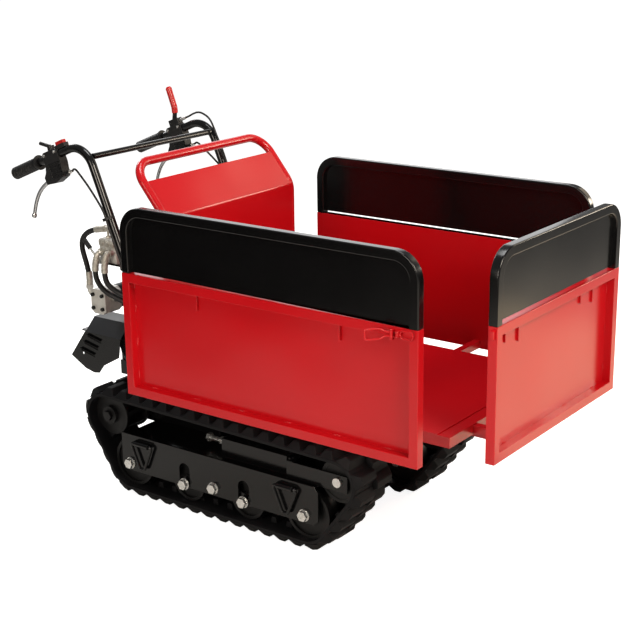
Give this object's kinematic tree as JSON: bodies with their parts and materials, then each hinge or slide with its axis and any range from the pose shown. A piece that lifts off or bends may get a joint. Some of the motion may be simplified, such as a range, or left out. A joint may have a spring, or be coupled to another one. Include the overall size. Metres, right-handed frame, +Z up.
{
  "type": "tracked power carrier",
  "caption": "Walk-behind tracked carrier with rubber tracks, handlebar controls, an engine and a hydraulic tipping bed whose sides and front slide outward.",
  "frame": {"origin": "on the ground, at the middle of the overall length and width", "axes": "+X forward from the handlebar to the bed's front, +Y to the machine's left, +Z up"},
  "size_m": [1.882, 1.102, 1.258],
  "materials": {
    "red_paint": "gloss red powder coat",
    "black_paint": "satin black powder coat",
    "grey_paint": "dark grey painted sheet",
    "zinc": "zinc plated",
    "aluminium": "as cast",
    "rod_chrome": "hard chrome",
    "cast": "black painted casting",
    "track_rubber": "matt",
    "hose_rubber": "satin",
    "black_plastic": "fine grained",
    "red_plastic": "gloss"
  },
  "bodies": {
    "chassis": {"main_frame": "black_paint", "outer_track_plates": "black_paint", "idler_forks": "black_paint", "axle_bolts": "zinc", "right_track": "track_rubber", "left_track": "track_rubber", "gearbox": "cast", "engine_block": "cast", "recoil_cover": "black_plastic", "fuel_tank": "black_plastic", "muffler": "black_paint", "air_cleaner": "black_plastic", "belt_guard": "grey_paint", "hydraulic_pump": "aluminium", "control_valve": "aluminium", "oil_tank": "black_plastic", "hydraulic_hoses": "hose_rubber", "handlebar": "black_paint", "grips": "hose_rubber", "control_housings": "black_plastic", "control_cables": "hose_rubber", "hinge_pin": "zinc"},
    "bed": {"bed_floor": "red_paint", "headboard": "red_paint"},
    "right_sprocket": {"right_sprocket": "cast"},
    "left_sprocket": {"left_sprocket": "cast"},
    "right_idler": {"right_idler": "cast"},
    "left_idler": {"left_idler": "cast"},
    "right_rear_wheel": {"right_rear_wheel": "cast"},
    "right_front_wheel": {"right_front_wheel": "cast"},
    "left_rear_wheel": {"left_rear_wheel": "cast"},
    "left_front_wheel": {"left_front_wheel": "cast"},
    "right_rear_roller": {"right_rear_roller": "cast"},
    "right_front_roller": {"right_front_roller": "cast"},
    "left_rear_roller": {"left_rear_roller": "cast"},
    "left_front_roller": {"left_front_roller": "cast"},
    "right_bogie": {"right_bogie": "black_paint"},
    "left_bogie": {"left_bogie": "black_paint"},
    "right_rear_ring": {"right_rear_ring": "black_paint"},
    "right_front_ring": {"right_front_ring": "black_paint"},
    "left_rear_ring": {"left_rear_ring": "black_paint"},
    "left_front_ring": {"left_front_ring": "black_paint"},
    "tip_lever": {"tip_lever": "zinc"},
    "cylinder_barrel": {"cylinder_barrel": "black_paint"},
    "cylinder_rod": {"cylinder_rod": "rod_chrome"},
    "right_steering_lever": {"right_steering_lever": "aluminium"},
    "left_steering_lever": {"left_steering_lever": "aluminium"},
    "clutch_lever": {"clutch_lever": "red_plastic"},
    "throttle_lever": {"throttle_lever": "black_plastic"},
    "stop_button": {"stop_button": "red_plastic"},
    "right_panel": {"right_panel": "red_paint"},
    "left_panel": {"left_panel": "red_paint"},
    "front_panel": {"front_panel": "red_paint"},
    "right_board": {"right_board": "black_paint"},
    "left_board": {"left_board": "black_paint"},
    "front_board": {"front_board": "black_paint"},
    "right_latch_handle": {"right_latch_handle": "red_paint"},
    "left_latch_handle": {"left_latch_handle": "red_paint"},
    "right_latch_bail": {"right_latch_bail": "red_paint"},
    "left_latch_bail": {"left_latch_bail": "red_paint"}
  },
  "joints": [
    {"name": "right_sprocket_spin", "type": "hinge", "parent": "chassis", "child": "right_sprocket", "pos_m": [-0.54, -0.255, 0.255], "axis": [0, 1, 0], "continuous": true, "deforming": ["right_track"]},
    {"name": "right_idler_spin", "type": "hinge", "parent": "chassis", "child": "right_idler", "pos_m": [0.392, -0.255, 0.242], "axis": [0, 1, 0], "continuous": true},
    {"name": "right_bogie_tilt", "type": "hinge", "parent": "chassis", "child": "right_bogie", "pos_m": [-0.078, -0.255, 0.113], "axis": [0, 1, 0], "range_deg": [-5, 5]},
    {"name": "right_rear_wheel_spin", "type": "hinge", "parent": "chassis", "child": "right_rear_wheel", "pos_m": [-0.436, -0.255, 0.114], "axis": [0, 1, 0], "continuous": true},
    {"name": "right_rear_roller_spin", "type": "hinge", "parent": "right_bogie", "child": "right_rear_roller", "pos_m": [-0.2, -0.255, 0.097], "axis": [0, 1, 0], "continuous": true},
    {"name": "right_rear_ring_swing", "type": "hinge", "parent": "chassis", "child": "right_rear_ring", "pos_m": [-0.375, -0.347, 0.193], "axis": [-1, 0, 0], "range_deg": [0, 95]},
    {"name": "right_front_wheel_spin", "type": "hinge", "parent": "chassis", "child": "right_front_wheel", "pos_m": [0.28, -0.255, 0.114], "axis": [0, 1, 0], "continuous": true},
    {"name": "right_front_roller_spin", "type": "hinge", "parent": "right_bogie", "child": "right_front_roller", "pos_m": [0.044, -0.255, 0.097], "axis": [0, 1, 0], "continuous": true},
    {"name": "right_front_ring_swing", "type": "hinge", "parent": "chassis", "child": "right_front_ring", "pos_m": [0.215, -0.347, 0.193], "axis": [-1, 0, 0], "range_deg": [0, 95]},
    {"name": "left_sprocket_spin", "type": "hinge", "parent": "chassis", "child": "left_sprocket", "pos_m": [-0.54, 0.255, 0.255], "axis": [0, 1, 0], "continuous": true, "deforming": ["left_track"]},
    {"name": "left_idler_spin", "type": "hinge", "parent": "chassis", "child": "left_idler", "pos_m": [0.392, 0.255, 0.242], "axis": [0, 1, 0], "continuous": true},
    {"name": "left_bogie_tilt", "type": "hinge", "parent": "chassis", "child": "left_bogie", "pos_m": [-0.078, 0.255, 0.113], "axis": [0, 1, 0], "range_deg": [-5, 5]},
    {"name": "left_rear_wheel_spin", "type": "hinge", "parent": "chassis", "child": "left_rear_wheel", "pos_m": [-0.436, 0.255, 0.114], "axis": [0, 1, 0], "continuous": true},
    {"name": "left_rear_roller_spin", "type": "hinge", "parent": "left_bogie", "child": "left_rear_roller", "pos_m": [-0.2, 0.255, 0.097], "axis": [0, 1, 0], "continuous": true},
    {"name": "left_rear_ring_swing", "type": "hinge", "parent": "chassis", "child": "left_rear_ring", "pos_m": [-0.375, 0.347, 0.193], "axis": [1, 0, 0], "range_deg": [0, 95]},
    {"name": "left_front_wheel_spin", "type": "hinge", "parent": "chassis", "child": "left_front_wheel", "pos_m": [0.28, 0.255, 0.114], "axis": [0, 1, 0], "continuous": true},
    {"name": "left_front_roller_spin", "type": "hinge", "parent": "left_bogie", "child": "left_front_roller", "pos_m": [0.044, 0.255, 0.097], "axis": [0, 1, 0], "continuous": true},
    {"name": "left_front_ring_swing", "type": "hinge", "parent": "chassis", "child": "left_front_ring", "pos_m": [0.215, 0.347, 0.193], "axis": [1, 0, 0], "range_deg": [0, 95]},
    {"name": "bed_tip", "type": "hinge", "parent": "chassis", "child": "bed", "pos_m": [0.405, 0, 0.4], "axis": [0, 1, 0], "range_deg": [0, 40]},
    {"name": "cylinder_swing", "type": "hinge", "parent": "chassis", "child": "cylinder_barrel", "pos_m": [0.124, 0, 0.192], "axis": [0, -1, 0], "range_deg": [-1, 3]},
    {"name": "rod_slide", "type": "slide", "parent": "cylinder_barrel", "child": "cylinder_rod", "axis": [0.6109, 0, 0.7917], "range_m": [0, 0.075]},
    {"name": "right_panel_slide", "type": "slide", "parent": "bed", "child": "right_panel", "axis": [0, 1, 0], "range_m": [0, 0.139]},
    {"name": "left_panel_slide", "type": "slide", "parent": "bed", "child": "left_panel", "axis": [0, -1, 0], "range_m": [0, 0.139]},
    {"name": "front_panel_slide", "type": "slide", "parent": "bed", "child": "front_panel", "axis": [-1, 0, 0], "range_m": [0, 0.123]},
    {"name": "right_board_lift", "type": "slide", "parent": "right_panel", "child": "right_board", "axis": [0, 0, 1], "range_m": [0, 0.1]},
    {"name": "left_board_lift", "type": "slide", "parent": "left_panel", "child": "left_board", "axis": [0, 0, 1], "range_m": [0, 0.1]},
    {"name": "front_board_lift", "type": "slide", "parent": "front_panel", "child": "front_board", "axis": [0, 0, 1], "range_m": [0, 0.1]},
    {"name": "right_latch_open", "type": "hinge", "parent": "right_panel", "child": "right_latch_handle", "pos_m": [0.71, -0.515, 0.811], "axis": [0, 0, 1], "range_deg": [-26, 58]},
    {"name": "right_bail_swing", "type": "hinge", "parent": "right_panel", "child": "right_latch_bail", "pos_m": [0.728, -0.515, 0.811], "axis": [0, 0, -1], "range_deg": [0, 85]},
    {"name": "left_latch_open", "type": "hinge", "parent": "left_panel", "child": "left_latch_handle", "pos_m": [0.71, 0.515, 0.811], "axis": [0, 0, -1], "range_deg": [-26, 58]},
    {"name": "left_bail_swing", "type": "hinge", "parent": "left_panel", "child": "left_latch_bail", "pos_m": [0.728, 0.515, 0.811], "axis": [0, 0, 1], "range_deg": [0, 85]},
    {"name": "right_steering_squeeze", "type": "hinge", "parent": "chassis", "child": "right_steering_lever", "pos_m": [-0.76541, -0.298, 1.02113], "axis": [0, 1, 0], "range_deg": [0, 25], "stiffness_Nm_per_rad": 3, "springref_deg": -8.59},
    {"name": "left_steering_squeeze", "type": "hinge", "parent": "chassis", "child": "left_steering_lever", "pos_m": [-0.76541, 0.298, 1.02113], "axis": [0, 1, 0], "range_deg": [0, 25], "stiffness_Nm_per_rad": 3, "springref_deg": -8.59},
    {"name": "clutch_press", "type": "hinge", "parent": "chassis", "child": "clutch_lever", "pos_m": [-0.75762, 0.298, 1.12908], "axis": [0, -1, 0], "range_deg": [0, 80], "stiffness_Nm_per_rad": 1.5, "springref_deg": -11.46},
    {"name": "throttle_turn", "type": "hinge", "parent": "chassis", "child": "throttle_lever", "pos_m": [-0.75762, -0.298, 1.12908], "axis": [-0.3778, 0, 0.9259], "range_deg": [-25, 25]},
    {"name": "stop_push", "type": "slide", "parent": "chassis", "child": "stop_button", "axis": [0.3778, 0, -0.9259], "range_m": [0, 0.004], "stiffness_N_per_m": 700, "springref_m": -0.002},
    {"name": "tip_lever_move", "type": "hinge", "parent": "chassis", "child": "tip_lever", "pos_m": [-0.606, -0.262, 0.764], "axis": [0, 1, 0], "range_deg": [-18, 18], "stiffness_Nm_per_rad": 1.2}
  ],
  "couplings": [
    {"joint": "right_idler_spin", "follows": "right_sprocket_spin", "ratio": 1.0186},
    {"joint": "right_rear_wheel_spin", "follows": "right_sprocket_spin", "ratio": 0.86812},
    {"joint": "right_rear_roller_spin", "follows": "right_sprocket_spin", "ratio": 1.1753},
    {"joint": "right_front_wheel_spin", "follows": "right_sprocket_spin", "ratio": 0.86812},
    {"joint": "right_front_roller_spin", "follows": "right_sprocket_spin", "ratio": 1.1753},
    {"joint": "left_idler_spin", "follows": "left_sprocket_spin", "ratio": 1.0186},
    {"joint": "left_rear_wheel_spin", "follows": "left_sprocket_spin", "ratio": 0.86812},
    {"joint": "left_rear_roller_spin", "follows": "left_sprocket_spin", "ratio": 1.1753},
    {"joint": "left_front_wheel_spin", "follows": "left_sprocket_spin", "ratio": 0.86812},
    {"joint": "left_front_roller_spin", "follows": "left_sprocket_spin", "ratio": 1.1753},
    {"joint": "cylinder_swing", "follows": "bed_tip", "ratio": 0.04},
    {"joint": "rod_slide", "follows": "bed_tip", "m_per_rad": 0.102}
  ]
}
